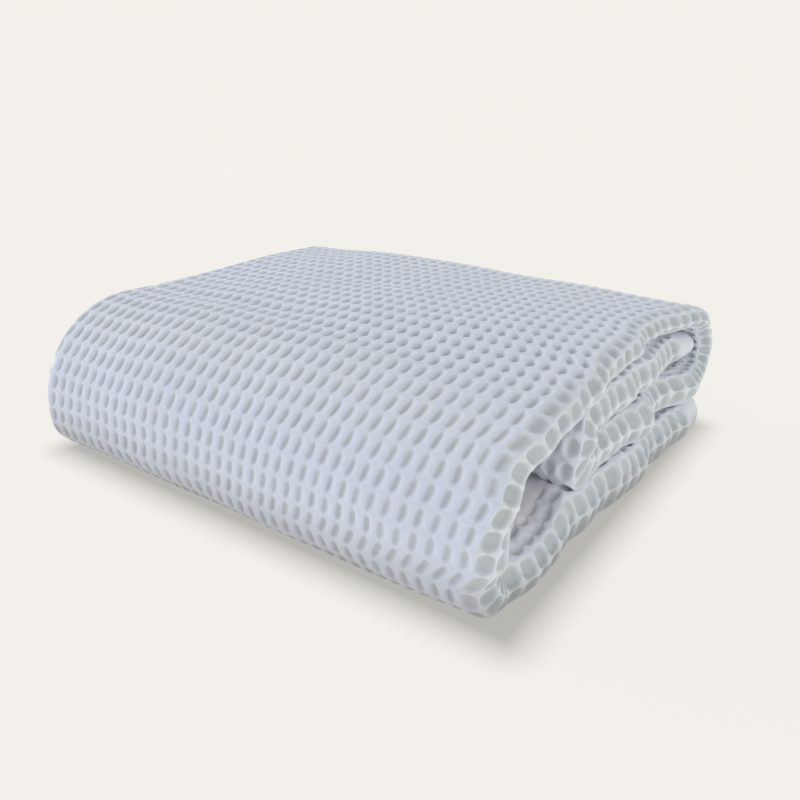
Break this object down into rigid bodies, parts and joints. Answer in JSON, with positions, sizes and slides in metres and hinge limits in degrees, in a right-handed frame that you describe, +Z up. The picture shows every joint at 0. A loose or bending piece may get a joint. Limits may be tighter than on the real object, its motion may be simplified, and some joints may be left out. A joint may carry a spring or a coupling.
{
  "type": "folded cotton blanket",
  "caption": "Large-cell honeycomb cotton blanket folded into a thick flat bundle, with its last fold wrapped round the front and soft rounded ends.",
  "frame": {"origin": "on the floor, under the middle of the folded blanket", "axes": "+Z up; +X along the front fold, towards the end with rounded folds only; +Y from the front fold to the back"},
  "size_m": [0.365, 0.316, 0.1087],
  "materials": {
    "cotton": "matt honeycomb weave"
  },
  "bodies": {
    "root": {"blanket": "cotton"}
  },
  "joints": []
}
